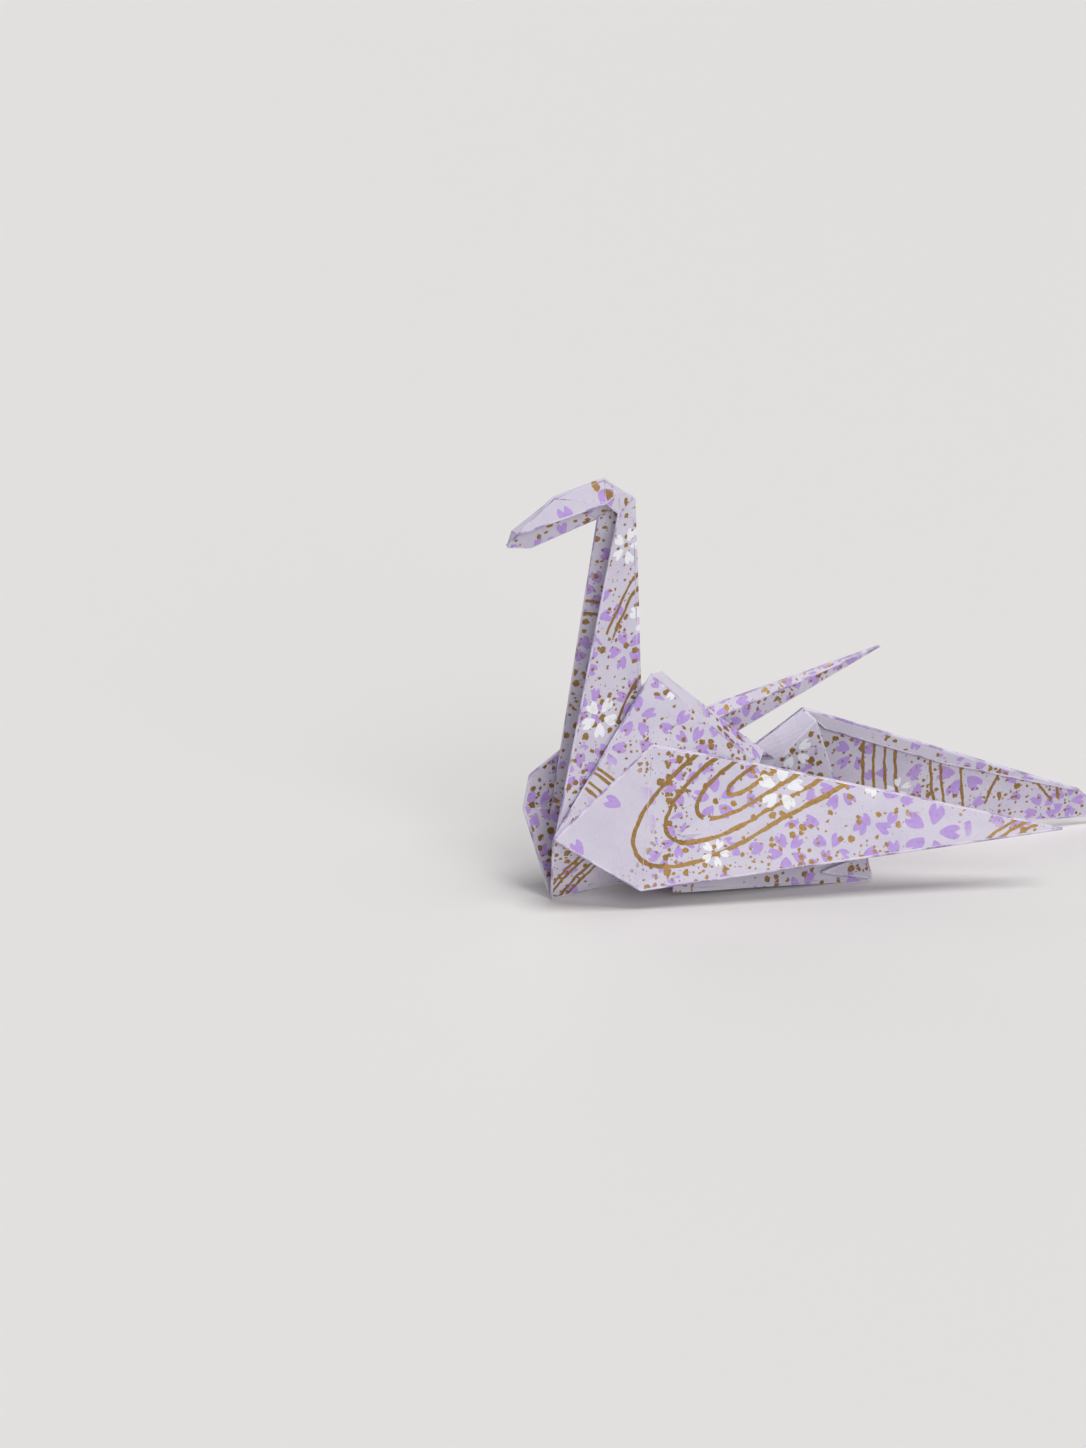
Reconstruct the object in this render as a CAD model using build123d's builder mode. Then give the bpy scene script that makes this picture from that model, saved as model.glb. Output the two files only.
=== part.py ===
import os

from build123d import *

# Driving sizes of the folded bird, in millimetres
body_length = 45.0
body_half_width = 5.0
hump_height = 32.0
neck_height = 57.0
neck_half_width = 4.0
head_length = 17.0
head_half_width = 1.5
tail_length = 50.0
tail_height = 30.5
tail_side_lean = 7.0
wing_length = 70.0
wing_half_spread = 14.0
wing_tip_height = 8.7
far_wing_length = 86.5
far_wing_half_spread = 7.0
far_wing_tip_height = 1.2

# Thickness of a flap of folded paper, and the radius of a pressed fold
flap_thickness = 0.5
fold_radius = 0.3

# Places on the body, as shares of its length, its half width and the hump's height
foot_share = (0, 0.04, 0.01)
keel_rear_share = (0.40, 0.04, 0.08)
chest_share = (-0.02, 0.94, 0.34)
crest_front_share = (0.31, 0.16, 1.0)
crest_rear_share = (0.645, 0.42, 0.555)
waist_front_share = (0.38, 1.04, 0.31)
waist_rear_share = (0.98, 1.04, 0.28)
pocket_front_share = (0.38, 0.96, 0.01)
pocket_rear_share = (1.0, 0.96, 0.01)
ridge_front_share = (0.38, 0, 0.31)
ridge_rear_share = (0.98, 0, 0.28)
bib_top_share = (0.06, -0.84, 0.64)
bib_shoulder_share = (-0.04, -0.9, 0.53)
bib_front_share = (-0.06, -0.9, 0.38)

# Places on the neck, as shares of the body's length, the neck's half width and its height
neck_top_share = (0.249, 0, 1.0)
neck_foot_share = (0.29, 0, 0.163)
near_edge_top_share = (0.2, 0.3, 0.972)
near_edge_foot_share = (-0.015, 1.0, 0.163)
far_edge_top_share = (0.153, -0.3, 0.956)
far_edge_foot_share = (0.018, -1.0, 0.163)

# Places on the head, as shares of its length forward of the neck, its half width and its length up
crown_share = (0.23, 0, 0.16)
brow_share = (0.635, 0, 0.04)
beak_top_share = (0.97, 0, -0.2)
beak_tip_share = (1.01, 0, -0.32)
near_cheek_share = (0.235, 0.93, 0)
near_beak_share = (0.95, 0.67, -0.21)
far_cheek_share = (0.265, -0.93, -0.165)
far_beak_share = (0.81, -0.8, -0.36)
nape_share = (0.135, 0.8, 0.076)

# Places on the wings, as shares of the body's sizes
wing_root_share = (-0.02, 1.0, 0.34)
wing_shoulder_share = (0.302, 0.53, 0.7)
wing_hinge_share = (0.642, 0.5, 0.566)
wing_hem_share = (0.242, 1.4, 0.094)
far_peak_share = (0.842, -0.9, 0.722)
far_tuck_top_share = (0.87, -0.5, 0.678)
far_tuck_foot_share = (0.765, -0.5, 0.469)
far_tuck_rear_share = (0.94, -0.6, 0.388)

# Places on the tail, as shares of its length, its lean and its height
tail_root_share = (0.3, 0.35, 0.76)
tail_near_foot_share = (0.36, 0.05, 0.52)
tail_far_foot_share = (0.36, 0.72, 0.56)


def body_place(share, side=1):
    back, across, up = share
    return Vector(-back * body_length, side * across * body_half_width, up * hump_height)


def neck_place(share):
    back, across, up = share
    return Vector(-back * body_length, across * neck_half_width, up * neck_height)


def head_place(share):
    forward, across, up = share
    nape = neck_place(neck_top_share)
    return nape + Vector(forward * head_length, across * head_half_width, up * head_length)


def tail_place(share):
    back, across, up = share
    return Vector(-back * tail_length, -across * tail_side_lean, up * tail_height)


def flap(*corners):
    """A flat flap of paper through three corners, with its thickness to both sides."""
    first, second, third = corners
    normal = (second - first).cross(third - first)
    face_plane = Plane(origin=first, x_dir=second - first, z_dir=normal)
    with BuildSketch(face_plane) as outline:
        with BuildLine():
            Polyline(*[face_plane.to_local_coords(corner) for corner in corners], close=True)
        make_face()
    extrude(outline.sketch, amount=flap_thickness / 2, both=True)


def fold(start, end):
    """A pressed fold: the paper turns round a small radius along this line."""
    along = end - start
    with BuildSketch(Plane(origin=start, z_dir=along)) as section:
        Circle(fold_radius)
    extrude(section.sketch, amount=along.length)


with BuildPart() as crane:
    # Body: two sides that rise from the keel, each with a pleat that stands on the ground
    for side in (1, -1):
        foot = body_place(foot_share, side)
        keel_rear = body_place(keel_rear_share, side)
        chest = body_place(chest_share, side)
        crest_front = body_place(crest_front_share, side)
        crest_rear = body_place(crest_rear_share, side)
        waist_front = body_place(waist_front_share, side)
        waist_rear = body_place(waist_rear_share, side)
        pocket_front = body_place(pocket_front_share, side)
        pocket_rear = body_place(pocket_rear_share, side)
        ridge_front = body_place(ridge_front_share, side)
        ridge_rear = body_place(ridge_rear_share, side)
        flap(foot, chest, waist_front)
        flap(foot, waist_front, keel_rear)
        flap(chest, crest_front, crest_rear)
        flap(chest, crest_rear, waist_front)
        flap(crest_rear, waist_rear, waist_front)
        flap(waist_front, waist_rear, pocket_rear)
        flap(waist_front, pocket_rear, pocket_front)
        flap(pocket_front, pocket_rear, ridge_rear)
        flap(pocket_front, ridge_rear, ridge_front)
        fold(foot, chest)
        fold(foot, keel_rear)
        fold(chest, crest_front)
        fold(crest_front, crest_rear)
        fold(crest_rear, waist_rear)
        fold(waist_front, waist_rear)
        fold(chest, waist_front)
        fold(pocket_front, pocket_rear)
    fold(body_place(ridge_front_share), body_place(ridge_rear_share))

    # Crest: the strip that joins the two sides over the hump
    near_front = body_place(crest_front_share)
    near_rear = body_place(crest_rear_share)
    far_front = body_place(crest_front_share, -1)
    far_rear = body_place(crest_rear_share, -1)
    flap(near_front, near_rear, far_rear)
    flap(near_front, far_rear, far_front)

    # Bib: the far side of the chest reaches further forward
    bib_top = body_place(bib_top_share)
    bib_shoulder = body_place(bib_shoulder_share)
    bib_front = body_place(bib_front_share)
    far_foot = body_place(foot_share, -1)
    far_crest = body_place(crest_front_share, -1)
    far_waist = body_place(waist_front_share, -1)
    flap(far_foot, bib_front, far_waist)
    flap(bib_front, bib_shoulder, far_waist)
    flap(bib_shoulder, bib_top, far_waist)
    flap(bib_top, far_crest, far_waist)
    fold(far_foot, bib_front)
    fold(bib_front, bib_shoulder)
    fold(bib_shoulder, bib_top)
    fold(bib_top, far_crest)

    # Neck: a tapered trough, open towards the front
    neck_top = neck_place(neck_top_share)
    neck_foot = neck_place(neck_foot_share)
    near_top = neck_place(near_edge_top_share)
    near_foot = neck_place(near_edge_foot_share)
    far_top = neck_place(far_edge_top_share)
    far_neck_foot = neck_place(far_edge_foot_share)
    flap(neck_top, near_top, near_foot)
    flap(neck_top, near_foot, neck_foot)
    flap(neck_top, far_top, far_neck_foot)
    flap(neck_top, far_neck_foot, neck_foot)
    fold(neck_top, neck_foot)
    fold(near_top, near_foot)
    fold(far_top, far_neck_foot)

    # Head: the end of the neck turned down over itself, open below
    crown = head_place(crown_share)
    brow = head_place(brow_share)
    beak_top = head_place(beak_top_share)
    beak_tip = head_place(beak_tip_share)
    near_cheek = head_place(near_cheek_share)
    near_beak = head_place(near_beak_share)
    far_cheek = head_place(far_cheek_share)
    far_beak = head_place(far_beak_share)
    nape = head_place(nape_share)
    flap(neck_top, crown, nape)
    flap(neck_top, nape, near_top)
    flap(crown, near_cheek, nape)
    flap(nape, near_cheek, near_top)
    flap(crown, brow, near_cheek)
    flap(brow, near_beak, near_cheek)
    flap(brow, beak_top, near_beak)
    flap(beak_top, beak_tip, near_beak)
    flap(neck_top, crown, far_cheek)
    flap(crown, brow, far_cheek)
    flap(brow, far_beak, far_cheek)
    flap(brow, beak_top, far_beak)
    flap(beak_top, beak_tip, far_beak)
    fold(neck_top, crown)
    fold(crown, brow)
    fold(brow, beak_top)
    fold(beak_top, beak_tip)
    fold(near_cheek, near_beak)
    fold(near_beak, beak_tip)
    fold(far_cheek, far_beak)
    fold(far_beak, beak_tip)

    # Tail: a narrow flap with its spine up, open below
    tail_tip = Vector(-tail_length, -tail_side_lean, tail_height)
    tail_root = tail_place(tail_root_share)
    tail_near = tail_place(tail_near_foot_share)
    tail_far = tail_place(tail_far_foot_share)
    flap(tail_tip, tail_root, tail_near)
    flap(tail_tip, tail_root, tail_far)
    fold(tail_tip, tail_root)
    fold(tail_tip, tail_near)
    fold(tail_tip, tail_far)

    # Near wing: hinged along the hump's side and swung out towards its tip
    root = body_place(wing_root_share)
    shoulder = body_place(wing_shoulder_share)
    hinge = body_place(wing_hinge_share)
    hem = body_place(wing_hem_share)
    wing_tip = Vector(-wing_length, wing_half_spread, wing_tip_height)
    flap(root, shoulder, hem)
    flap(shoulder, hinge, hem)
    flap(hinge, wing_tip, hem)
    fold(root, shoulder)
    fold(shoulder, hinge)
    fold(hinge, wing_tip)
    fold(wing_tip, hem)
    fold(hem, root)

    # Far wing: the same flap on the other side, standing up in a peak behind the hump
    far_root = body_place(wing_root_share, -1)
    far_shoulder = body_place(wing_shoulder_share, -1)
    far_hinge = body_place(wing_hinge_share, -1)
    far_hem = body_place(wing_hem_share, -1)
    peak = body_place(far_peak_share)
    far_tip = Vector(-far_wing_length, -far_wing_half_spread, far_wing_tip_height)
    flap(far_root, far_shoulder, far_hem)
    flap(far_shoulder, far_hinge, far_hem)
    flap(far_hinge, peak, far_hem)
    flap(peak, far_tip, far_hem)
    fold(far_root, far_shoulder)
    fold(far_shoulder, far_hinge)
    fold(far_hinge, peak)
    fold(peak, far_tip)
    fold(far_tip, far_hem)
    fold(far_hem, far_root)

    # Tuck: the inner layer of the far wing, folded back from its front edge
    tuck_top = body_place(far_tuck_top_share)
    tuck_foot = body_place(far_tuck_foot_share)
    tuck_rear = body_place(far_tuck_rear_share)
    flap(far_hinge, peak, tuck_top)
    flap(far_hinge, tuck_top, tuck_foot)
    flap(tuck_foot, tuck_top, tuck_rear)
    flap(peak, tuck_top, tuck_rear)
    fold(tuck_top, tuck_foot)
    fold(peak, tuck_top)
    fold(tuck_top, tuck_rear)

# The origin is under the middle of the bird, on the ground
bounds = crane.part.bounding_box()
to_origin = Location((-bounds.center().X, -bounds.center().Y, -bounds.min.Z))
sheet = crane.part.moved(to_origin)
sheet.label = "folded_sheet"
os.makedirs("parts", exist_ok=True)
export_step(sheet, "parts/folded_sheet.step")
print("moved to the origin by", to_origin.position)
print("size", bounds.size, "volume", sheet.volume, "solids", len(sheet.solids()))
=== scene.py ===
import math

import bmesh
import bpy
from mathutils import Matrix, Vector, noise


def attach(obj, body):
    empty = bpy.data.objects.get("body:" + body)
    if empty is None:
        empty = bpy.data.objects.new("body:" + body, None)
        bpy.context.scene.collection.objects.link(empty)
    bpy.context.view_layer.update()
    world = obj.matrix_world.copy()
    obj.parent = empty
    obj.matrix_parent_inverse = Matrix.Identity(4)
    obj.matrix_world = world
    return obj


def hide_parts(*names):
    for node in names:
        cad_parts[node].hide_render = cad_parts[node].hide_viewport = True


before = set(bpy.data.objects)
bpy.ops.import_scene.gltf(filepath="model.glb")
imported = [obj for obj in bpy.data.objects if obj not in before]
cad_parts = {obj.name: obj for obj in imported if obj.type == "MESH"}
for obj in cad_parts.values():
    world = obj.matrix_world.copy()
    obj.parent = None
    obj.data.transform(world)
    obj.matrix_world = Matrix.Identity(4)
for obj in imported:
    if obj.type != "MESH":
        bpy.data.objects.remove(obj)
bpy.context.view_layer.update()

MM = 0.001

# The bird's main sizes, in millimetres, as in the solid model
BODY_LENGTH = 45.0
BODY_HALF_WIDTH = 5.0
HUMP_HEIGHT = 32.0
NECK_HEIGHT = 57.0
NECK_HALF_WIDTH = 4.0
HEAD_LENGTH = 17.0
HEAD_HALF_WIDTH = 1.5
TAIL_LENGTH = 50.0
TAIL_HEIGHT = 30.5
TAIL_SIDE_LEAN = 7.0
WING_TIP = (-70.0, 14.0, 8.7)
FAR_WING_TIP = (-86.5, -7.0, 1.2)
FAR_WING_FULLNESS = 2.3

# How far the crest strip's far corners lie from their mirrored places
FAR_CREST_FRONT_SHIFT = (-1.67, 0, -0.4)
FAR_CREST_REAR_SHIFT = (-2.2, 0, 0.33)

# Where the chest's foot stands in the row frame, in millimetres
FOOT = Vector((40.19, -3.5, 0.05))

# The two sides of the bird, as signs of the way across it
NEAR = 1
FAR = -1

# The paper: thickness of a flap, rounding of a fold, radius of the bead along it, cuts of each panel
FLAP_THICKNESS = 0.34
TURNED_EDGE_GAP = FLAP_THICKNESS * 1.4
FOLD_WIDTH = 0.15
FOLD_SEGMENTS = 2
FOLD_LEAST_ANGLE = math.radians(24)
FOLD_LINE_RADIUS = 0.185
MESH_CUTS = 9
SMALL_FLAP_CUTS = 4
TURNED_EDGE_CUTS = 6
HEAD_CUTS = 3

# Waves in the paper: height, distance from a fold at which they are full, and two noises,
# each with waves to a millimetre and share
RIPPLE_HEIGHT = 0.16
SMALL_FLAP_RIPPLE = 0.05
TURNED_EDGE_RIPPLE = 0.04
RIPPLE_MARGIN = 4.0
LONG_WAVES = (0.11, 2.2)
SHORT_WAVES = (0.31, 0.7)
LONG_WAVES_SHIFT = Vector((3.1, 0.7, 5.3))

# The photograph's frame and the camera that took it, in pixels and millimetres
PHOTO_WIDTH = 1086
PHOTO_HEIGHT = 1448
FOOT_PIXEL = (551, 899)
MM_PER_PIXEL = 0.139
CAMERA_DISTANCE = 450.0
CAMERA_TURN = math.radians(15.0)
CAMERA_RISE = math.radians(20.0)
SENSOR_WIDTH = 36.0
NEAREST_SEEN = 0.01

# Colours, linear
PAPER = (0.625, 0.585, 0.67)
PAPER_COOL = (0.57, 0.535, 0.645)
PETAL = (0.415, 0.245, 0.655)
PETAL_DEEP = (0.33, 0.17, 0.56)
GOLD = (0.235, 0.13, 0.035)
GOLD_LIGHT = (0.32, 0.19, 0.055)
WHITE_PETAL = (0.86, 0.87, 0.90)
# Edge colours: the pale ones are worn paper; the dark ones are painted shade, for the shadowed gaps
# between layers along folds and edges
WORN_EDGE = (0.80, 0.77, 0.85)
EDGE_PAINTED_SHADE = (0.33, 0.26, 0.42)
FOLD_PALE = (0.66, 0.61, 0.74)
FOLD_PAINTED_SHADE = (0.30, 0.22, 0.42)
FLOOR_COLOUR = (0.765, 0.745, 0.735)
FLOOR_SHADE = (0.70, 0.69, 0.68)
SKY_COLOUR = (0.97, 0.97, 1.0)

# Finish of the paper, its gold, its folds and the floor
PAPER_ROUGHNESS = 0.62
FOLD_ROUGHNESS = 0.6
FLOOR_ROUGHNESS = 0.9
PAPER_SPECULAR = 0.35
FLOOR_SPECULAR = 0.1
GOLD_METALLIC = 0.35
GOLD_SMOOTHNESS = 0.2
PAPER_BUMP = (0.5, 0.0001)
FOLD_BUMP = (0.4, 0.00005)
HANDLED_HEIGHT = 2.4
GRAIN_HEIGHT = 0.4

# Noises: waves to a millimetre, or to a metre on the floor, then detail and roughness
WOBBLE = (0.55, 2.0, 0.5)
GRAIN = (5.5, 4.0, 0.6)
HANDLED = (0.42, 3.0, 0.55)
# Its low places on edges are worn pale, and the lowest get painted shade for the shadowed gaps along folds
WEAR_AND_SHADE = (0.5, 3.0, 0.6)
FOLD_FIBRE = (3.0, 3.0, 0.6)
SPECK_OUTLINE = (3.1, 1.0, 0.5)
DUST_PATCHES = (0.11, 1.0, 0.5)
FLOOR_WEAVE = (900.0, 2.0, 0.5)

# Patches of chance: a noise as above, then the level of the patches' edge and its softness
CLOUDS = (0.16, 3.0, 0.5, 0.5, 0.22)
FIBRES = (2.6, 5.0, 0.65, 0.42, 0.16)
PETAL_HEARTS = (1.3, 2.0, 0.5, 0.40, 0.08)
TARNISH = (2.2, 3.0, 0.6, 0.45, 0.12)
# On the fold beads, low patches get painted shade and the rest is worn pale
FOLD_WEAR_AND_SHADE = (0.22, 3.0, 0.6, 0.47, 0.10)

# Levels of a noise, with their softness, below which a place is worn, darkened with painted shade or
# fibrous
WORN_LEVEL = (0.60, 0.10)
# Below this level an edge gets painted shade instead of wear
PAINTED_SHADE_LEVEL = (0.40, 0.06)
FOLD_FIBRE_LEVEL = (0.45, 0.1)

# Uneven strengths: a noise as above, then its gain and the least strength
INK = (0.9, 4.0, 0.7, 0.45, 0.58)
GOLD_BRUSH = (0.45, 2.0, 0.5, 0.34, 0.12)
WHITE_BRUSH = (1.1, 3.0, 0.7, 0.9, 0.4)

# How strongly each layer covers what is under it
FIBRE_COVER = 0.10
HEART_COVER = 0.3
WHITE_COVER = 0.84
# How strongly the painted shade on the edges of flaps covers
PAINTED_SHADE_COVER = 0.55
FOLD_FIBRE_COVER = 0.25
WEAVE_COVER = 0.12

# The print, in millimetres on the sheet, and how many of them the UV map's unit holds
PRINT_SCALE = 100.0
WOBBLE_REACH = 0.55

# The gold stream on the near wing: start, direction, reach and spacing of its nested lines
STREAM_START = (26.6, 16.4)
STREAM_ANGLE = math.radians(34)
STREAM_REACH = 5.2
STREAM_SPACING = 2.0
STREAM_SPREAD = 0.028
STREAM_LINES = 4.0
STREAM_LENGTH = 34.0
STREAM_SOFT = 0.05
STREAM_LEAST_LEVEL = 0.2

# Gold strands: middle, direction in degrees, offsets across and length
STRANDS = (
    ((62.5, 9.2), 33, (-1.1, -0.2, 0.7), 11.0),
    ((6.2, 57.6), -38, (-1.6, -0.7, 0.8, 1.6), 11.0),
    ((112.0, 50.0), 92, (2.6, 1.0, -0.7, -2.3), 26.0),
    ((120.5, 50.0), 91, (0.8, -0.8), 24.0),
    ((124.6, 48.0), 90, (0,), 20.0),
    ((131.0, 46.4), 62, (0,), 12.0),
    ((136.5, 43.4), 125, (0,), 8.0),
    ((139.5, 44.6), 95, (0,), 9.0),
    ((158.6, 45.4), 58, (-0.5, 0.7), 9.5),
    ((159.2, 32.0), 60, (0,), 6.5),
    ((175.0, 44.5), -8, (-0.9, 0.9), 12.0),
    ((202.0, 13.0), 52, (-1.9, -1.0, 0.5, 1.3), 10.0),
    ((294.5, 7.6), 22, (0,), 5.0),
)
STRAND_BRUSH_SHARE = 0.76
STRAND_BEND = 0.012
STRAND_SOFT = 0.05
STRAND_END_SOFT = 0.15

# A petal: how its width grows outwards, the slope of its nick and the softness of both outlines
PETAL_TAPER = 0.28
NICK_SLOPE = 0.62
PETAL_SOFT = 0.1
NICK_SOFT = 0.05

# A blossom as shares of its radius: a petal's middle, half length, half width and nick, and the
# room kept free round it. A petal alone as shares of its length: half length, half width and nick
SCATTERED_BLOSSOM_SHARES = (0.62, 0.36, 0.25, 0.16, 1.2)
PLACED_BLOSSOM_SHARES = (0.64, 0.36, 0.24, 0.15, 1.15)
SINGLE_PETAL_SHARES = (0.5, 0.36, 0.2)
ROOM_SOFT = 0.2

# Blossoms at chosen places: place, turn in degrees and radius. Lone petals: the same with length
PURPLE_BLOSSOMS = (
    (22.6, 14.0, 10, 3.3), (52.8, 9.6, 34, 4.2), (17.4, 8.4, 50, 2.6), (38.0, 4.6, 20, 2.6),
    (124.8, 46.4, 8, 4.1), (108.0, 52.0, 30, 3.2), (11.5, 66.5, 22, 3.0), (19.5, 62.0, 48, 3.0),
)
WHITE_BLOSSOMS = (
    (31.8, 15.6, 25, 3.3), (22.6, 6.6, 40, 2.0), (158.9, 53.5, 40, 2.6), (356.6, 11.0, 5, 2.7),
    (118.6, 53.6, 60, 2.6), (17.2, 70.6, 12, 2.2), (115.0, 45.0, 15, 2.0),
)
LONE_PETALS = (
    (8.0, 13.2, 200, 2.5), (3.2, 7.0, 240, 2.3), (300.4, 13.2, 250, 2.6),
    (302.4, 11.4, 100, 2.0), (296.9, 8.4, 20, 2.2), (306.0, 14.6, 150, 2.0),
)

# Where the print is bare: place and radius
BARE_SPOTS = (
    (5.0, 11.0, 9.0), (299.0, 10.0, 7.0), (400.0, 10.0, 10.0), (434.0, 10.0, 8.0),
    (116.0, 56.0, 4.0), (6.2, 57.6, 3.0), (53.0, 9.6, 4.0), (61.0, 8.0, 3.0),
)
BARE_SOFT = 1.5

# What falls by chance, one in a cell: cells to a millimetre, seed, share of cells filled and size
PURPLE_SCATTER = (0.125, 3.0, 0.42, 2.9)
WHITE_SCATTER = (0.075, 53.0, 0.22, 3.0)
PETAL_SCATTERS = ((0.27, 17.0, 0.60, 2.3), (0.30, 41.0, 0.16, 1.9))
SCATTER_RANDOMNESS = 0.6
SCATTER_TURN = 6.28

# How far up the sheet a seed moves the cells, for each millimetre that it moves them across
BLOSSOM_SEED_SLOPE = 0.7
PETAL_SEED_SLOPE = -0.6
SPECK_SEED_SLOPE = 1.3

# How far the dust's patches are moved: across by a multiple of the seed, and up by a length
DUST_SEED_SHARE = 2.1
DUST_SHIFT = 11.0

# Gold dust: cells to a millimetre, seed, largest speck, and the noise where it starts and is full
DUSTS = ((0.74, 7.0, 0.56, 0.38, 0.52), (1.15, 29.0, 0.27, 0.40, 0.58))
SPECK_RANDOMNESS = 1.0
SPECK_POWER = 1.6
SPECK_UNEVENNESS = 0.42
SPECK_LEAST = 0.21
SPECK_SOFT = 0.04

# Where each run of paper starts in the print
BODY_SIDE_PRINT = (0, 50)
CREST_PRINT = (400, 10)
POCKET_PRINT = (230, 10)
POCKET_FLOOR_PRINT = (260, 70)
POCKET_LINING_PRINT = (236, 34)
CHEST_PRINT = (200, 10)
BIB_PRINT = (320, 10)
NEAR_NECK_PRINT = (160, 60)
FAR_NECK_PRINT = (180, 60)
NEAR_HEAD_PRINT = (310, 14)
FAR_HEAD_PRINT = (330, 60)
TAIL_TOP_PRINT = (276, 50)
TAIL_NEAR_PRINT = (276, 46)
TAIL_FAR_PRINT = (276, 66)
NEAR_WING_PRINT = (0, 8)
FAR_WING_PRINT = (100, 60)
TURNED_EDGE_PRINT = (430, 12)
TUCK_PLAIN_PRINT = (370, 60)
TUCK_PRINT = (352, 8)

# Where each of a flap's materials lies among its slots
PRINTED_SLOT = 0
EDGE_SLOT = 1
PLAIN_SLOT = 2

# The floor's half side, in metres
FLOOR_HALF = 9.0

# Lamps: the way to them as right, towards the camera and up, then strength and spread in degrees
LAMPS = (
    ("key", (0.32, 0.22, 1.2), 1.75, 26),
    ("front", (0.45, 1.0, 0.6), 1.25, 40),
    ("back", (-0.5, -1.0, 0.5), 0.75, 60),
)
SKY_STRENGTH = 0.19


def body(back, across, up, side=NEAR):
    return Vector((-back * BODY_LENGTH, side * across * BODY_HALF_WIDTH, up * HUMP_HEIGHT))


def both_sides(back, across, up):
    """The same place of the body on each side."""
    return {side: body(back, across, up, side) for side in (NEAR, FAR)}


def neck(back, across, up):
    return Vector((-back * BODY_LENGTH, across * NECK_HALF_WIDTH, up * NECK_HEIGHT))


NECK_TOP = neck(0.249, 0, 1.0)


def head(forward, across, up):
    return NECK_TOP + Vector((forward * HEAD_LENGTH, across * HEAD_HALF_WIDTH, up * HEAD_LENGTH))


def tail(back, across, up):
    return Vector((-back * TAIL_LENGTH, -across * TAIL_SIDE_LEAN, up * TAIL_HEIGHT))


# In the bird's frame: the camera's right, the level way to it, the floor's up, the way that it
# looks, and its own up
RIGHT = Vector((-math.cos(CAMERA_TURN), math.sin(CAMERA_TURN), 0))
TOWARDS = Vector((math.sin(CAMERA_TURN), math.cos(CAMERA_TURN), 0))
LEVEL_UP = Vector((0, 0, 1))
VIEW = -(TOWARDS * math.cos(CAMERA_RISE) + LEVEL_UP * math.sin(CAMERA_RISE))
UP = LEVEL_UP * math.cos(CAMERA_RISE) - TOWARDS * math.sin(CAMERA_RISE)


def add_object(name, data):
    made = bpy.data.objects.new(name, data)
    bpy.context.scene.collection.objects.link(made)
    return made


def make_camera():
    """The photograph's camera, placed so that the chest's foot lies at its pixel."""
    focal_pixels = CAMERA_DISTANCE / MM_PER_PIXEL
    to_foot = (VIEW * focal_pixels + RIGHT * (FOOT_PIXEL[0] - PHOTO_WIDTH / 2)
               - UP * (FOOT_PIXEL[1] - PHOTO_HEIGHT / 2))
    place = FOOT - to_foot * (CAMERA_DISTANCE / focal_pixels)
    data = bpy.data.cameras.new("camera")
    data.sensor_fit = "HORIZONTAL"
    data.sensor_width = SENSOR_WIDTH
    data.lens = SENSOR_WIDTH * focal_pixels / PHOTO_WIDTH
    data.clip_start = NEAREST_SEEN
    camera = add_object("camera", data)
    camera.location = place * MM
    camera.rotation_euler = VIEW.to_track_quat("-Z", "Y").to_euler()
    bpy.context.scene.camera = camera


make_camera()


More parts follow.
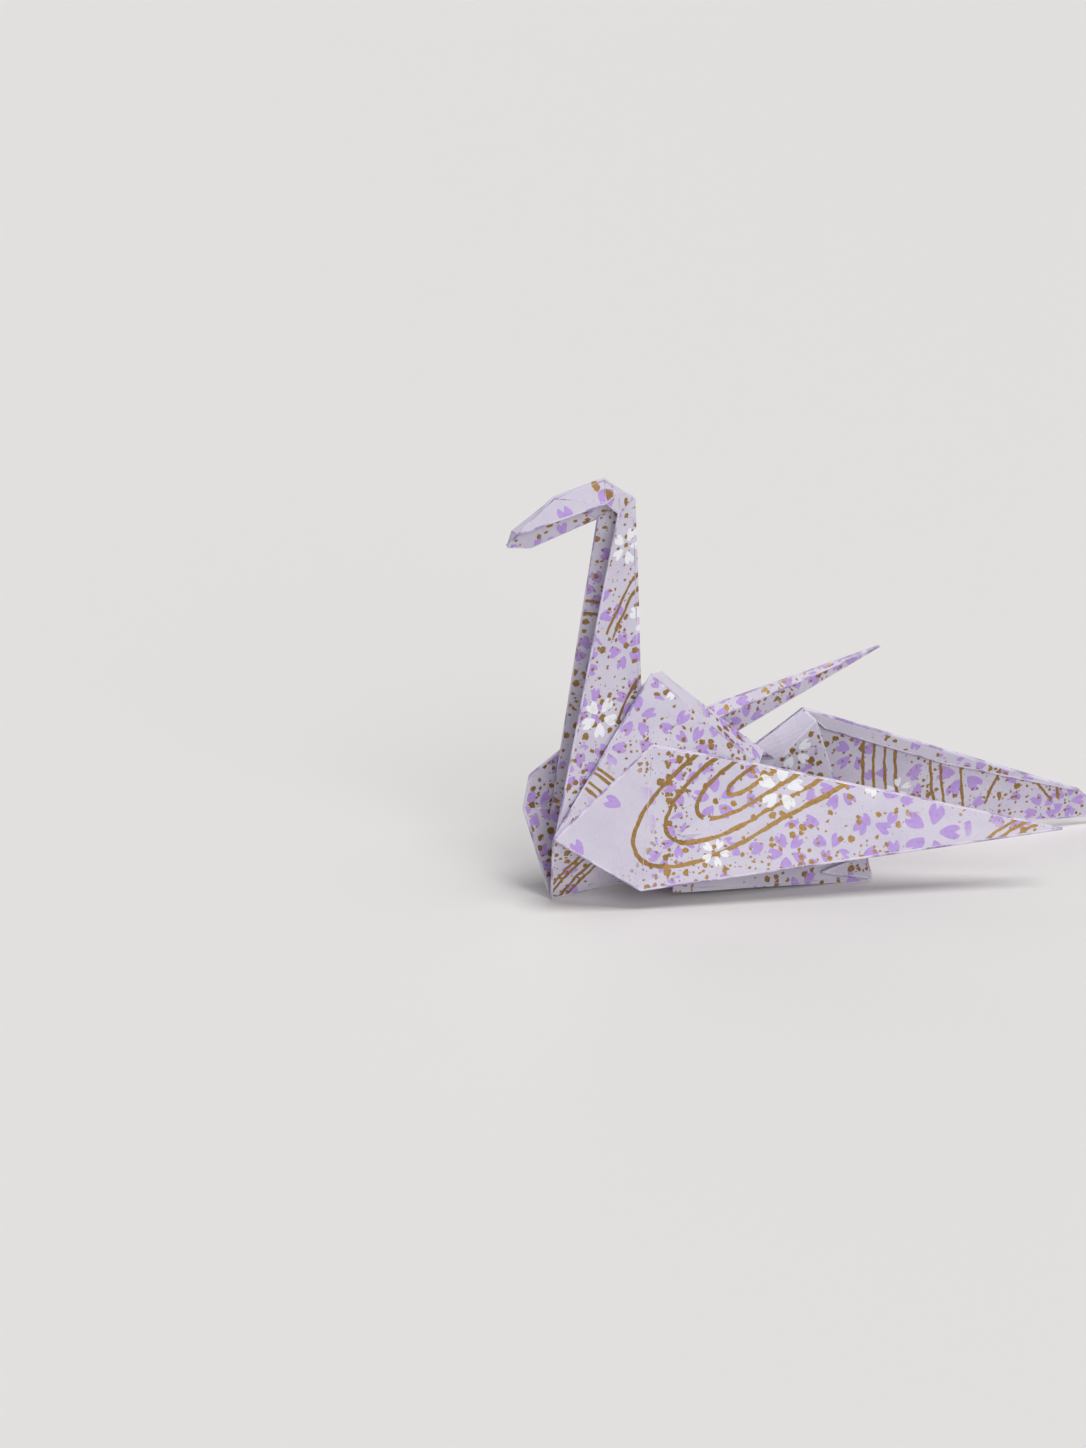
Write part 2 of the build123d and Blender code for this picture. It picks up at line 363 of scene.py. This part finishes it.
class Graph:
    """Short calls for the arithmetic of a shader's node tree."""

    def __init__(self, tree):
        self.tree = tree

    def node(self, kind, **settings):
        made = self.tree.nodes.new(kind)
        for name, value in settings.items():
            setattr(made, name, value)
        return made

    def link(self, source, socket):
        """Links a node's output to a socket, or sets a constant on it."""
        if isinstance(source, bpy.types.NodeSocket):
            self.tree.links.new(source, socket)
        else:
            socket.default_value = source

    def math(self, operation, first, second=0.0, third=0.0):
        made = self.node("ShaderNodeMath", operation=operation)
        self.link(first, made.inputs[0])
        self.link(second, made.inputs[1])
        self.link(third, made.inputs[2])
        return made.outputs[0]

    def times(self, first, second):
        return self.math("MULTIPLY", first, second)

    def without(self, mask):
        """One where the mask is zero, and the other way round."""
        return self.math("SUBTRACT", 1.0, mask)

    def hypotenuse(self, first, second):
        return self.math("SQRT", self.math("ADD", self.times(first, first), self.times(second, second)))

    def highest(self, masks):
        """The highest of several masks at each place."""
        most, *others = masks
        for mask in others:
            most = self.math("MAXIMUM", most, mask)
        return most

    def vector(self, operation, first, second=(0, 0, 0)):
        made = self.node("ShaderNodeVectorMath", operation=operation)
        self.link(first, made.inputs[0])
        self.link(second, made.inputs[1])
        return made.outputs["Value" if operation == "LENGTH" else "Vector"]

    def below(self, value, edge, soft):
        """One where value is below edge, falling to zero over the soft width each way."""
        made = self.node("ShaderNodeMapRange", interpolation_type="SMOOTHSTEP")
        self.link(value, made.inputs["Value"])
        self.link(self.math("SUBTRACT", edge, soft), made.inputs["From Min"])
        self.link(self.math("ADD", edge, soft), made.inputs["From Max"])
        self.link(1, made.inputs["To Min"])
        self.link(0, made.inputs["To Max"])
        return made.outputs["Result"]

    def mix(self, share, first, second):
        made = self.node("ShaderNodeMix", data_type="RGBA")
        self.link(share, made.inputs[0])
        for value, socket in ((first, made.inputs[6]), (second, made.inputs[7])):
            self.link((*value, 1) if isinstance(value, tuple) else value, socket)
        return made.outputs[2]

    def noise(self, vector, settings, output="Fac"):
        made = self.node("ShaderNodeTexNoise")
        self.link(vector, made.inputs["Vector"])
        for name, value in zip(("Scale", "Detail", "Roughness"), settings):
            self.link(value, made.inputs[name])
        return made.outputs[output]

    def patches(self, vector, settings):
        """One in the low patches of a noise."""
        *waves, edge, soft = settings
        return self.below(self.noise(vector, waves), edge, soft)

    def uneven(self, vector, settings):
        """A strength that follows a noise."""
        *waves, gain, least = settings
        return self.math("MULTIPLY_ADD", self.noise(vector, waves), gain, least)

    def cells(self, vector, scale, randomness):
        """The way from the nearest cell's middle, and two chance numbers of that cell."""
        made = self.node("ShaderNodeTexVoronoi", voronoi_dimensions="2D")
        self.link(vector, made.inputs["Vector"])
        self.link(scale, made.inputs["Scale"])
        self.link(randomness, made.inputs["Randomness"])
        local = self.vector("SUBTRACT", vector, made.outputs["Position"])
        first, second, _ = self.split(made.outputs["Color"])
        return local, first, second

    def split(self, vector):
        made = self.node("ShaderNodeSeparateXYZ")
        self.link(vector, made.inputs[0])
        return made.outputs

    def turned(self, vector, angle):
        made = self.node("ShaderNodeVectorRotate", rotation_type="Z_AXIS")
        self.link(vector, made.inputs["Vector"])
        self.link(angle, made.inputs["Angle"])
        return made.outputs[0]

    def seen_from(self, vector, x, y, angle):
        """The same place, measured from a spot and along a turned axis."""
        return self.turned(self.vector("SUBTRACT", vector, (x, y, 0)), angle)

    def bump(self, height, strength, distance):
        made = self.node("ShaderNodeBump")
        self.link(strength, made.inputs["Strength"])
        self.link(distance, made.inputs["Distance"])
        self.link(height, made.inputs["Height"])
        return made.outputs[0]


def new_material(name):
    """A node material, the short calls for its tree, and its shader."""
    material = bpy.data.materials.new(name)
    material.use_nodes = True
    return material, Graph(material.node_tree), material.node_tree.nodes["Principled BSDF"]


def petal_mask(g, along, across, middle, half_length, half_width, nick):
    """A cherry petal: an egg shape with a nick at its outer end."""
    from_middle = g.math("SUBTRACT", along, middle)
    taper = g.math("MULTIPLY_ADD", from_middle, PETAL_TAPER, half_width)
    x = g.math("DIVIDE", from_middle, half_length)
    y = g.math("DIVIDE", across, taper)
    egg = g.math("ADD", g.times(x, x), g.times(y, y))
    inside = g.below(egg, 1.0, PETAL_SOFT)
    depth = g.math("SUBTRACT", from_middle, nick)
    wedge = g.math("MULTIPLY_ADD", depth, NICK_SLOPE, g.times(g.math("ABSOLUTE", across), -1.0))
    return g.times(inside, g.below(wedge, 0.0, NICK_SOFT))


def single_petal_mask(g, local, length):
    """One petal about the place that local is measured from."""
    half_length, half_width, nick = (share * length for share in SINGLE_PETAL_SHARES)
    x, y, _ = g.split(local)
    return petal_mask(g, x, y, 0.0, half_length, half_width, nick)


def blossom_mask(g, local, radius, shares):
    """Five petals about the place that local is measured from, and the room they take up."""
    middle, half_length, half_width, nick, room = (share * radius for share in shares)
    x, y, _ = g.split(local)
    distance = g.vector("LENGTH", local)
    fifth = 2 * math.pi / 5
    angle = g.math("FLOORED_MODULO", g.math("ARCTAN2", y, x), fifth)
    turned = g.math("SUBTRACT", angle, fifth / 2)
    along = g.times(distance, g.math("COSINE", turned))
    across = g.times(distance, g.math("SINE", turned))
    petals = petal_mask(g, along, across, middle, half_length, half_width, nick)
    return petals, g.below(distance, room, ROOM_SOFT)


def scatter(g, place, scale, seed, slope):
    """Cells that are turned by chance, and a chance number for each."""
    moved = g.vector("ADD", place, (seed, seed * slope, 0))
    local, turn, chance = g.cells(moved, scale, SCATTER_RANDOMNESS)
    return g.turned(local, g.times(turn, SCATTER_TURN)), chance


def scattered_blossom_mask(g, place, scale, seed, share, radius):
    """Blossoms that fall by chance, one in each chosen cell, and the room they take up."""
    local, chance = scatter(g, place, scale, seed, BLOSSOM_SEED_SLOPE)
    petals, room = blossom_mask(g, local, radius, SCATTERED_BLOSSOM_SHARES)
    chosen = g.math("LESS_THAN", chance, share)
    return g.times(petals, chosen), g.times(room, chosen)


def scattered_petal_mask(g, place, scale, seed, share, length):
    """Single petals that fall by chance."""
    local, chance = scatter(g, place, scale, seed, PETAL_SEED_SLOPE)
    return g.times(single_petal_mask(g, local, length), g.math("LESS_THAN", chance, share))


def placed_blossom_mask(g, place, spots):
    """Blossoms at chosen places, and the room they take up."""
    made = [blossom_mask(g, g.seen_from(place, x, y, math.radians(turn)), radius, PLACED_BLOSSOM_SHARES)
            for x, y, turn, radius in spots]
    return g.highest(petals for petals, _ in made), g.highest(room for _, room in made)


def placed_petal_masks(g, place):
    """The lone petals at chosen places, each as a mask."""
    return [single_petal_mask(g, g.seen_from(place, x, y, math.radians(turn)), length)
            for x, y, turn, length in LONE_PETALS]


def stream_mask(g, place, brush):
    """Nested lines that flow round one end of an axis and on along both its sides."""
    x, y, _ = g.split(g.seen_from(place, *STREAM_START, -STREAM_ANGLE))
    behind = g.math("DIVIDE", g.math("MINIMUM", x, 0.0), STREAM_REACH)
    spread = g.math("MULTIPLY_ADD", g.math("MAXIMUM", x, 0.0), STREAM_SPREAD, STREAM_SPACING)
    beside = g.math("DIVIDE", y, spread)
    level = g.hypotenuse(behind, beside)
    slope_x = g.math("DIVIDE", behind, STREAM_REACH)
    slope_y = g.math("DIVIDE", beside, STREAM_SPACING)
    slope = g.hypotenuse(slope_x, slope_y)
    slope = g.math("DIVIDE", slope, g.math("MAXIMUM", level, STREAM_LEAST_LEVEL))
    from_line = g.math("ABSOLUTE", g.math("SUBTRACT", g.math("FRACT", level), 0.5))
    line = g.below(from_line, g.times(slope, brush), g.times(slope, STREAM_SOFT))
    line = g.times(line, g.math("LESS_THAN", level, STREAM_LINES))
    return g.times(line, g.math("LESS_THAN", x, STREAM_LENGTH))


def strand_mask(g, place, start, angle, offsets, length, brush):
    """A few gently curved lines side by side."""
    x, y, _ = g.split(g.seen_from(place, *start, -math.radians(angle)))
    curved = g.math("ADD", y, g.times(g.times(x, x), STRAND_BEND))
    lines = g.highest(g.below(g.math("ABSOLUTE", g.math("SUBTRACT", curved, offset)), brush, STRAND_SOFT)
                      for offset in offsets)
    return g.times(lines, g.below(g.math("ABSOLUTE", x), length / 2, STRAND_END_SOFT))


def bare_mask(g, place):
    """One in the places that the print leaves empty."""
    return g.highest(g.below(g.vector("LENGTH", g.vector("SUBTRACT", place, (x, y, 0))), radius, BARE_SOFT)
                     for x, y, radius in BARE_SPOTS)


def dust_mask(g, place, scale, seed, largest, low, high):
    """Sprinkled gold: small uneven specks, thick in some patches and absent in others."""
    moved = g.vector("ADD", place, (seed, seed * SPECK_SEED_SLOPE, 0))
    local, size, chance = g.cells(moved, scale, SPECK_RANDOMNESS)
    outline = g.times(g.noise(moved, SPECK_OUTLINE), SPECK_UNEVENNESS)
    size = g.times(g.math("POWER", size, SPECK_POWER), largest)
    distance = g.math("ADD", g.vector("LENGTH", local), outline)
    speck = g.below(distance, g.math("ADD", size, SPECK_LEAST), SPECK_SOFT)
    patch_place = g.vector("ADD", place, (seed * DUST_SEED_SHARE, DUST_SHIFT, 0))
    share = g.without(g.below(g.noise(patch_place, DUST_PATCHES), (low + high) / 2, (high - low) / 2))
    return g.times(speck, g.math("LESS_THAN", chance, share))


def gold_mask(g, place, drawn, kept):
    """The stream, the strands and the dust."""
    brush = g.uneven(place, GOLD_BRUSH)
    fine = g.times(brush, STRAND_BRUSH_SHARE)
    lines = [stream_mask(g, drawn, brush)]
    lines += [strand_mask(g, drawn, *strand, fine) for strand in STRANDS]
    dust = g.highest(dust_mask(g, drawn, *settings) for settings in DUSTS)
    return g.highest([*lines, g.times(dust, kept)])


def print_over(g, place, colour):
    """Petals, gold and white blossoms over the paper's colour, and where the gold shows."""
    wobble = g.vector("SUBTRACT", g.noise(place, WOBBLE, "Color"), (0.5, 0.5, 0.5))
    drawn = g.vector("ADD", place, g.vector("MULTIPLY", wobble, (WOBBLE_REACH, WOBBLE_REACH, 0.0)))
    kept = g.without(bare_mask(g, place))
    placed, purple_room = placed_blossom_mask(g, drawn, PURPLE_BLOSSOMS)
    white_placed, white_room = placed_blossom_mask(g, drawn, WHITE_BLOSSOMS)
    free = g.times(kept, g.without(g.highest([purple_room, white_room])))
    blossoms, room = scattered_blossom_mask(g, drawn, *PURPLE_SCATTER)
    petals = g.highest(scattered_petal_mask(g, drawn, *settings) for settings in PETAL_SCATTERS)
    petals = g.times(petals, g.without(room))
    scattered = g.times(g.highest([blossoms, petals]), free)
    purple = g.highest([scattered, placed, *placed_petal_masks(g, drawn)])
    colour = g.mix(g.times(purple, g.uneven(place, INK)), colour, PETAL)
    hearts = g.times(purple, g.patches(place, PETAL_HEARTS))
    colour = g.mix(g.times(hearts, HEART_COVER), colour, PETAL_DEEP)
    gold = gold_mask(g, place, drawn, kept)
    colour = g.mix(gold, colour, g.mix(g.patches(place, TARNISH), GOLD_LIGHT, GOLD))
    white = g.times(scattered_blossom_mask(g, drawn, *WHITE_SCATTER)[0], free)
    white = g.times(g.highest([white, white_placed]), g.uneven(place, WHITE_BRUSH))
    white = g.math("MINIMUM", white, WHITE_COVER)
    return g.mix(white, colour, WHITE_PETAL), g.times(gold, g.without(white))


def wear_and_painted_shade_over(g, place, colour):
    """Pale worn places, and darker patches of painted shade where the gaps between layers lie in shadow,
    as along a pressed fold.
    """
    wear_and_shade = g.noise(place, WEAR_AND_SHADE)
    colour = g.mix(g.below(wear_and_shade, *WORN_LEVEL), colour, WORN_EDGE)
    # Painted shade: darker patches standing in for the shadow in the gaps along folds and edges
    return g.mix(g.times(g.below(wear_and_shade, *PAINTED_SHADE_LEVEL), PAINTED_SHADE_COVER), colour, EDGE_PAINTED_SHADE)


def make_paper(name, printed=True, edge=False):
    """Lilac washi paper with its fibres, with or without the print, fresh, or worn and darkened in patches
    with painted shade.
    """
    material, g, shader = new_material(name)
    uv = g.node("ShaderNodeUVMap", uv_map="print").outputs[0]
    place = g.vector("MULTIPLY", uv, (PRINT_SCALE, PRINT_SCALE, 0.0))
    colour = g.mix(g.patches(place, CLOUDS), PAPER, PAPER_COOL)
    colour = g.mix(g.times(g.patches(place, FIBRES), FIBRE_COVER), colour, PETAL_DEEP)
    roughness = PAPER_ROUGHNESS
    if printed:
        colour, gold = print_over(g, place, colour)
        g.link(g.times(gold, GOLD_METALLIC), shader.inputs["Metallic"])
        roughness = g.math("MULTIPLY_ADD", gold, -GOLD_SMOOTHNESS, PAPER_ROUGHNESS)
    # On edges: pale wear, and patches of painted shade
    if edge:
        colour = wear_and_painted_shade_over(g, place, colour)
    grain = g.times(g.noise(place, GRAIN), GRAIN_HEIGHT)
    height = g.math("MULTIPLY_ADD", g.noise(place, HANDLED), HANDLED_HEIGHT, grain)
    g.link(colour, shader.inputs["Base Color"])
    g.link(roughness, shader.inputs["Roughness"])
    g.link(PAPER_SPECULAR, shader.inputs["Specular IOR Level"])
    g.link(g.bump(height, *PAPER_BUMP), shader.inputs["Normal"])
    return material


def make_fold_line():
    """The pressed edge of a fold, darkened with painted shade in places for the shadowed gap beside it,
    and worn pale in others.
    """
    material, g, shader = new_material("fold_line")
    place = g.node("ShaderNodeTexCoord").outputs["Object"]
    place = g.vector("MULTIPLY", place, (1 / MM, 1 / MM, 1 / MM))
    # Low patches get painted shade for the shadowed gap along the fold; the rest is worn pale
    colour = g.mix(g.patches(place, FOLD_WEAR_AND_SHADE), FOLD_PALE, FOLD_PAINTED_SHADE)
    fibre = g.noise(place, FOLD_FIBRE)
    cover = g.times(g.below(fibre, *FOLD_FIBRE_LEVEL), FOLD_FIBRE_COVER)
    g.link(g.mix(cover, colour, WORN_EDGE), shader.inputs["Base Color"])
    g.link(FOLD_ROUGHNESS, shader.inputs["Roughness"])
    g.link(PAPER_SPECULAR, shader.inputs["Specular IOR Level"])
    g.link(g.bump(fibre, *FOLD_BUMP), shader.inputs["Normal"])
    return material


PRINTED = make_paper("printed_paper")
FOLD_LINE = make_fold_line()
FOLD_EDGE = make_paper("fold_edge", edge=True)
PLAIN = make_paper("plain_paper", printed=False)


def spread_normal(corners):
    """A panel's mean normal, twice as long as the panel's area."""
    following = corners[1:] + corners[:1]
    return sum(((a - corners[0]).cross(b - corners[0]) for a, b in zip(corners, following)), Vector())


def print_axes(corners):
    """Directions in a panel's plane that look level and upright to the camera."""
    normal = spread_normal(corners).normalized()
    across = (RIGHT - normal * RIGHT.dot(normal)).normalized()
    upright = normal.cross(across)
    return across, -upright if upright.dot(UP) < 0 else upright


def widest(panels):
    """The corners of the panel that covers most."""
    return max((corners for corners, _ in panels), key=lambda corners: spread_normal(corners).length)


def distance_to_line(point, start, end):
    along = end - start
    share = max(0.0, min(1.0, (point - start).dot(along) / along.length_squared))
    return (point - start - along * share).length


def lay_panels(bm, panels, plain, anchor):
    """Makes a face of each panel and lays it on the print."""
    layer = bm.loops.layers.uv.new("print")
    known = {}

    def vertex(place):
        key = tuple(round(x, 3) for x in place)
        if key not in known:
            known[key] = bm.verts.new(place)
        return known[key]

    across, upright = print_axes(widest(panels))
    start = anchor
    for number, (corners, spot) in enumerate(panels):
        face = bm.faces.new([vertex(corner) for corner in corners])
        face.material_index = PLAIN_SLOT if number in plain else PRINTED_SLOT
        if spot is not None:
            place = spot
            if anchor is None:
                across, upright = print_axes(corners)
                start = corners[0]
        for loop in face.loops:
            offset = loop.vert.co - start
            u = place[0] + offset.dot(across)
            v = place[1] + offset.dot(upright)
            loop[layer].uv = (u / PRINT_SCALE, v / PRINT_SCALE)


def ripple_paper(bm, folds, height):
    """Lets the paper wave a little between its folds."""
    for vertex in bm.verts:
        nearest = min(distance_to_line(vertex.co, start, end) for start, end in folds)
        swell = noise.noise(vertex.co * LONG_WAVES[0] + LONG_WAVES_SHIFT) * LONG_WAVES[1]
        swell += noise.noise(vertex.co * SHORT_WAVES[0]) * SHORT_WAVES[1]
        vertex.co += vertex.normal * (height * swell * min(1.0, nearest / RIPPLE_MARGIN))


def make_leaf(name, panels, cuts=MESH_CUTS, ripple=RIPPLE_HEIGHT, plain=(), anchor=None, even=True):
    """One run of folded paper. Each panel has corners and its first corner's place in the print,
    and plain has the numbers of those without print. A panel with no place carries on the print of
    the panel before it. With an anchor, every panel takes the widest one's directions in the print,
    and the anchor lies at the last place given.
    """
    bm = bmesh.new()
    lay_panels(bm, panels, plain, anchor)
    bmesh.ops.recalc_face_normals(bm, faces=bm.faces)
    folds = [(edge.verts[0].co.copy(), edge.verts[1].co.copy()) for edge in bm.edges]
    bmesh.ops.triangulate(bm, faces=[face for face in bm.faces if len(face.verts) > 4])
    bmesh.ops.subdivide_edges(bm, edges=bm.edges, cuts=cuts, use_grid_fill=True)
    bm.normal_update()
    ripple_paper(bm, folds, ripple)
    for vertex in bm.verts:
        vertex.co = (vertex.co + FOOT) * MM
    mesh = bpy.data.meshes.new(name)
    bm.to_mesh(mesh)
    bm.free()
    piece = add_object(name, mesh)
    for material in (PRINTED, FOLD_EDGE, PLAIN):
        mesh.materials.append(material)
    solid = piece.modifiers.new("thickness", "SOLIDIFY")
    solid.thickness = FLAP_THICKNESS * MM
    solid.offset = 0
    solid.use_even_offset = even
    solid.material_offset_rim = EDGE_SLOT
    rounded = piece.modifiers.new("pressed_folds", "BEVEL")
    rounded.width = FOLD_WIDTH * MM
    rounded.segments = FOLD_SEGMENTS
    rounded.limit_method = "ANGLE"
    rounded.angle_limit = FOLD_LEAST_ANGLE
    rounded.material = EDGE_SLOT
    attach(piece, "root")
    make_folds(name, folds)


def make_folds(name, folds):
    """A thin rounded bead along each edge of a leaf's panels, as a pressed fold or a cut edge has."""
    curve = bpy.data.curves.new(name + "_folds", "CURVE")
    curve.dimensions = "3D"
    curve.bevel_depth = FOLD_LINE_RADIUS * MM
    curve.bevel_resolution = 2
    curve.use_fill_caps = True
    for ends in folds:
        spline = curve.splines.new("POLY")
        spline.points.add(1)
        for point, place in zip(spline.points, ends):
            point.co = (*((place + FOOT) * MM), 1)
    curve.materials.append(FOLD_LINE)
    beads = add_object(name + "_folds", curve)
    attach(beads, "root")


def mirrored(spot, side):
    """A place in the print, on the other side of the sheet's middle for the far side."""
    return spot[0], spot[1] * side


def make_body():
    """The keel and chest, the sides, the crest strip, the pockets that it rests on, and the bib."""
    foot = both_sides(0, 0.04, 0.01)
    keel_rear = both_sides(0.40, 0.04, 0.08)
    chest = both_sides(-0.02, 0.94, 0.34)
    crest_front = both_sides(0.31, 0.16, 1.0)
    crest_rear = both_sides(0.645, 0.42, 0.555)
    waist_front = both_sides(0.38, 1.04, 0.31)
    waist_rear = both_sides(0.98, 1.04, 0.28)
    pocket_front = both_sides(0.36, 0.96, 0.055)
    pocket_rear = both_sides(1.0, 0.96, 0.012)
    lining_front = both_sides(0.84, 1.1, 0.068)
    lining_top = both_sides(0.98, 1.16, 0.13)
    lining_rear = both_sides(1.006, 1.1, 0.016)
    ridge_front = body(0.38, 0, 0.31)
    ridge_rear = body(0.98, 0, 0.28)
    crest_front[FAR] += Vector(FAR_CREST_FRONT_SHIFT)
    crest_rear[FAR] += Vector(FAR_CREST_REAR_SHIFT)
    panels = []
    for s in (NEAR, FAR):
        panels += [
            ([chest[s], crest_front[s], crest_rear[s], waist_front[s]], mirrored(BODY_SIDE_PRINT, s)),
            ([crest_rear[s], waist_rear[s], waist_front[s]], None),
            ([waist_front[s], waist_rear[s], pocket_rear[s], pocket_front[s]], mirrored(POCKET_PRINT, s)),
            ([pocket_front[s], pocket_rear[s], ridge_rear, ridge_front], mirrored(POCKET_FLOOR_PRINT, s)),
        ]
    crest = [crest_front[NEAR], crest_rear[NEAR], crest_rear[FAR], crest_front[FAR]]
    panels.append((crest, CREST_PRINT))
    make_leaf("body", panels)
    for s, name in ((NEAR, "near_chest"), (FAR, "far_chest")):
        corners = [foot[s], chest[s], waist_front[s], keel_rear[s]]
        make_leaf(name, [(corners, mirrored(CHEST_PRINT, s))])
    for s, name in ((NEAR, "near_pocket_lining"), (FAR, "far_pocket_lining")):
        corners = [lining_front[s], lining_top[s], lining_rear[s]]
        make_leaf(name, [(corners, mirrored(POCKET_LINING_PRINT, s))],
                  cuts=SMALL_FLAP_CUTS, ripple=SMALL_FLAP_RIPPLE)
    bib_top = body(0.06, -0.84, 0.64)
    bib_shoulder = body(-0.04, -0.9, 0.53)
    bib_front = body(-0.06, -0.9, 0.38)
    make_leaf("bib", [
        ([foot[FAR], bib_front, waist_front[FAR]], BIB_PRINT),
        ([bib_front, bib_shoulder, waist_front[FAR]], None),
        ([bib_shoulder, bib_top, waist_front[FAR]], None),
        ([bib_top, crest_front[FAR], waist_front[FAR]], None),
    ])


def make_neck_and_head():
    """The neck as a trough that is open to the front, and the head folded down from its end."""
    top = NECK_TOP
    foot = neck(0.29, 0, 0.163)
    near_top = neck(0.2, 0.3, 0.972)
    near_foot = neck(-0.015, 1.0, 0.163)
    far_top = neck(0.153, -0.3, 0.956)
    far_foot = neck(0.018, -1.0, 0.163)
    make_leaf("neck", [
        ([top, near_top, near_foot, foot], NEAR_NECK_PRINT),
        ([top, far_top, far_foot, foot], FAR_NECK_PRINT),
    ])
    crown = head(0.23, 0, 0.16)
    brow = head(0.635, 0, 0.04)
    beak_top = head(0.97, 0, -0.2)
    beak_tip = head(1.01, 0, -0.32)
    near_cheek = head(0.235, 0.93, 0)
    near_beak = head(0.95, 0.67, -0.21)
    far_cheek = head(0.265, -0.93, -0.165)
    far_beak = head(0.81, -0.8, -0.36)
    nape = head(0.135, 0.8, 0.076)
    make_leaf("head", [
        ([top, crown, nape], NEAR_HEAD_PRINT),
        ([top, nape, near_top], None),
        ([crown, near_cheek, nape], None),
        ([nape, near_cheek, near_top], None),
        ([crown, brow, near_cheek], None),
        ([brow, near_beak, near_cheek], None),
        ([brow, beak_top, near_beak], None),
        ([beak_top, beak_tip, near_beak], None),
        ([top, crown, far_cheek], FAR_HEAD_PRINT),
        ([crown, brow, far_cheek], None),
        ([brow, far_beak, far_cheek], None),
        ([brow, beak_top, far_beak], None),
        ([beak_top, beak_tip, far_beak], None),
    ], cuts=HEAD_CUTS, ripple=0.0, anchor=top)


def make_tail():
    """The tail's spike, whose three narrow flaps run to one tip."""
    tip = tail(1, 1, 1)
    root = tail(0.3, 0.35, 0.76)
    ridge = tail(0.318, 0.12, 0.70)
    near_foot = tail(0.36, 0.32, 0.55)
    far_foot = tail(0.36, 0.72, 0.58)
    make_leaf("tail", [
        ([tip, root, ridge], TAIL_TOP_PRINT),
        ([tip, ridge, near_foot], TAIL_NEAR_PRINT),
        ([tip, root, far_foot], TAIL_FAR_PRINT),
    ], even=False)


def make_wings():
    """The near wing, the far wing with its peak and turned top edge, and the layer tucked into it."""
    root = both_sides(-0.02, 1.0, 0.34)
    shoulder = both_sides(0.302, 0.53, 0.7)
    hinge = both_sides(0.642, 0.5, 0.566)
    hem = both_sides(0.242, 1.4, 0.094)
    tip = Vector(WING_TIP)
    make_leaf("near_wing", [
        ([root[NEAR], shoulder[NEAR], hem[NEAR]], NEAR_WING_PRINT),
        ([shoulder[NEAR], hinge[NEAR], hem[NEAR]], None),
        ([hinge[NEAR], tip, hem[NEAR]], None),
    ], anchor=root[NEAR])
    peak = body(0.842, -0.9, 0.722)
    far_tip = Vector(FAR_WING_TIP)
    bend = peak + (far_tip - peak) * 0.9 + Vector((0, 0, FAR_WING_FULLNESS))
    make_leaf("far_wing", [
        ([root[FAR], shoulder[FAR], hem[FAR]], FAR_WING_PRINT),
        ([shoulder[FAR], hinge[FAR], hem[FAR]], None),
        ([hinge[FAR], peak, hem[FAR]], None),
        ([peak, bend, far_tip, hem[FAR]], None),
    ], anchor=peak)
    along = far_tip - peak
    down = hem[FAR] - peak
    raised = Vector((0, TURNED_EDGE_GAP, 0))
    full = Vector((0, 0, FAR_WING_FULLNESS / 2))
    lower_rear = peak + along * 0.483 + down * 0.059 + full + raised
    lower_front = peak + along * 0.1 + down * 0.053 + raised
    turned_edge = [peak + raised, bend + raised, lower_rear, lower_front]
    make_leaf("far_wing_turned_edge", [(turned_edge, TURNED_EDGE_PRINT)],
              cuts=TURNED_EDGE_CUTS, ripple=TURNED_EDGE_RIPPLE)
    tuck_top = body(0.87, -0.5, 0.678)
    tuck_foot = body(0.70, -0.5, 0.453)
    tuck_rear = body(0.94, -0.6, 0.388)
    make_leaf("tuck", [
        ([hinge[FAR], peak, tuck_top, tuck_foot], TUCK_PLAIN_PRINT),
        ([tuck_foot, tuck_top, tuck_rear], TUCK_PRINT),
    ], cuts=SMALL_FLAP_CUTS, ripple=SMALL_FLAP_RIPPLE, plain=(0,))


make_body()
make_neck_and_head()
make_tail()
make_wings()
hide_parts("folded_sheet")


def make_floor():
    """A plain pale floor with a faint weave, which takes the bird's shadow."""
    material, g, shader = new_material("pale_floor")
    weave = g.noise(g.node("ShaderNodeTexCoord").outputs["Object"], FLOOR_WEAVE)
    g.link(g.mix(g.times(weave, WEAVE_COVER), FLOOR_COLOUR, FLOOR_SHADE), shader.inputs["Base Color"])
    g.link(FLOOR_ROUGHNESS, shader.inputs["Roughness"])
    g.link(FLOOR_SPECULAR, shader.inputs["Specular IOR Level"])
    mesh = bpy.data.meshes.new("floor")
    corners = [(x * FLOOR_HALF, y * FLOOR_HALF, 0) for x, y in ((-1, -1), (1, -1), (1, 1), (-1, 1))]
    mesh.from_pydata(corners, [], [(0, 1, 2, 3)])
    mesh.materials.append(material)
    floor = add_object("floor", mesh)


def make_lights():
    """A soft lamp high over the bird, one in front, a weak one behind and a pale sky."""
    for name, (right, towards, up), strength, spread in LAMPS:
        spot = RIGHT * right + TOWARDS * towards + LEVEL_UP * up
        data = bpy.data.lights.new(name, "SUN")
        data.energy = strength
        data.angle = math.radians(spread)
        lamp = add_object(name, data)
        lamp.location = spot
        lamp.rotation_euler = (-spot).to_track_quat("-Z", "Y").to_euler()
    world = bpy.data.worlds.new("studio")
    world.use_nodes = True
    sky = world.node_tree.nodes["Background"]
    sky.inputs["Color"].default_value = (*SKY_COLOUR, 1)
    sky.inputs["Strength"].default_value = SKY_STRENGTH
    bpy.context.scene.world = world


make_floor()
make_lights()
bpy.context.scene.view_settings.view_transform = "Standard"
